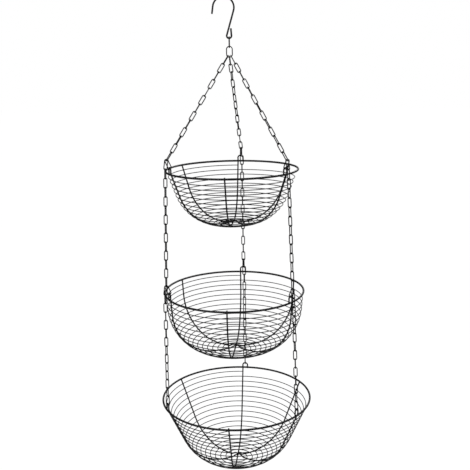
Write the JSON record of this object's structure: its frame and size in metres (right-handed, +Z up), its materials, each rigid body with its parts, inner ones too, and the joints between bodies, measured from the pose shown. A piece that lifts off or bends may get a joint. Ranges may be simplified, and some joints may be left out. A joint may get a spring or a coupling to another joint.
{
  "type": "hanging fruit basket",
  "caption": "Hanging wire fruit basket: wound wire bowls, wider from tier to tier, on link chains that gather under a steel wire hook.",
  "frame": {"origin": "inside top of the hook crown, where the basket hangs from a rail or nail", "axes": "+Z up along the hanging axis, +X to the right seen from the front, +Y to the back where one chain of three stands"},
  "size_m": [0.2949, 0.295, 0.8987],
  "materials": {
    "coated_wire": "near-black semi-gloss powder coat on steel wire",
    "coated_chain": "near-black coat on steel chain links, slightly glossier",
    "coated_hook": "near-black semi-gloss coat on the bent steel hook"
  },
  "bodies": {
    "hook": {"hook": "coated_hook"},
    "single_link": {"single_link": "coated_chain"},
    "top_tier": {"gather_link": "coated_chain", "upper_chain_back": "coated_chain", "upper_chain_left": "coated_chain", "upper_chain_right": "coated_chain", "top_eyelet_links": "coated_chain", "top_drop_links": "coated_chain", "top_rim": "coated_wire", "top_wound_wire": "coated_wire", "top_rib_back": "coated_wire", "top_rib_left": "coated_wire", "top_rib_right": "coated_wire"},
    "middle_run_back": {"middle_chain_back": "coated_chain"},
    "middle_run_left": {"middle_chain_left": "coated_chain"},
    "middle_run_right": {"middle_chain_right": "coated_chain"},
    "middle_tier": {"middle_joint_links": "coated_chain", "middle_rim": "coated_wire", "middle_wound_wire": "coated_wire", "middle_rib_back": "coated_wire", "middle_rib_left": "coated_wire", "middle_rib_right": "coated_wire", "middle_eyelet_links": "coated_chain", "middle_drop_links": "coated_chain"},
    "bottom_run_back": {"bottom_chain_back": "coated_chain"},
    "bottom_run_left": {"bottom_chain_left": "coated_chain"},
    "bottom_run_right": {"bottom_chain_right": "coated_chain"},
    "bottom_tier": {"bottom_joint_links": "coated_chain", "bottom_rim": "coated_wire", "bottom_wound_wire": "coated_wire", "bottom_rib_back": "coated_wire", "bottom_rib_left": "coated_wire", "bottom_rib_right": "coated_wire"}
  },
  "joints": [
    {"name": "hook_fore_swing", "type": "hinge", "parent": "hook", "child": "single_link", "pos_m": [0.00942, 0, -0.07059], "axis": [1, 0, 0], "range_deg": [-20, 20]},
    {"name": "hook_side_swing", "type": "hinge", "parent": "single_link", "child": "top_tier", "pos_m": [0.00942, 0, -0.08679], "axis": [0, 1, 0], "range_deg": [-20, 20]},
    {"name": "middle_swing_back", "type": "hinge", "parent": "top_tier", "child": "middle_run_back", "pos_m": [0.01638, 0.1281, -0.29896], "axis": [0, 1, 0], "range_deg": [-4, 4]},
    {"name": "middle_swing_left", "type": "hinge", "parent": "top_tier", "child": "middle_run_left", "pos_m": [-0.105, -0.05802, -0.29896], "axis": [0, 1, 0], "range_deg": [-4, 4]},
    {"name": "middle_swing_right", "type": "hinge", "parent": "top_tier", "child": "middle_run_right", "pos_m": [0.11688, -0.07008, -0.29896], "axis": [0, 1, 0], "range_deg": [-4, 4]},
    {"name": "middle_tier_level", "type": "hinge", "parent": "middle_run_back", "child": "middle_tier", "pos_m": [0.01547, 0.13502, -0.50104], "axis": [0, 1, 0], "range_deg": [-4, 4]},
    {"name": "bottom_swing_back", "type": "hinge", "parent": "middle_tier", "child": "bottom_run_back", "pos_m": [0.01638, 0.1381, -0.53383], "axis": [0, 1, 0], "range_deg": [-2.5, 2.5]},
    {"name": "bottom_swing_left", "type": "hinge", "parent": "middle_tier", "child": "bottom_run_left", "pos_m": [-0.11366, -0.06302, -0.53383], "axis": [0, 1, 0], "range_deg": [-2.5, 2.5]},
    {"name": "bottom_swing_right", "type": "hinge", "parent": "middle_tier", "child": "bottom_run_right", "pos_m": [0.12554, -0.07508, -0.53383], "axis": [0, 1, 0], "range_deg": [-2.5, 2.5]},
    {"name": "bottom_tier_level", "type": "hinge", "parent": "bottom_run_back", "child": "bottom_tier", "pos_m": [0.01457, 0.1423, -0.73598], "axis": [0, 1, 0], "range_deg": [-2.5, 2.5]}
  ],
  "couplings": [
    {"joint": "middle_swing_left", "follows": "middle_swing_back", "ratio": 1},
    {"joint": "middle_swing_right", "follows": "middle_swing_back", "ratio": 1},
    {"joint": "middle_tier_level", "follows": "middle_swing_back", "ratio": -0.9487},
    {"joint": "bottom_swing_left", "follows": "bottom_swing_back", "ratio": 1},
    {"joint": "bottom_swing_right", "follows": "bottom_swing_back", "ratio": 1},
    {"joint": "bottom_tier_level", "follows": "bottom_swing_back", "ratio": -0.9705}
  ]
}
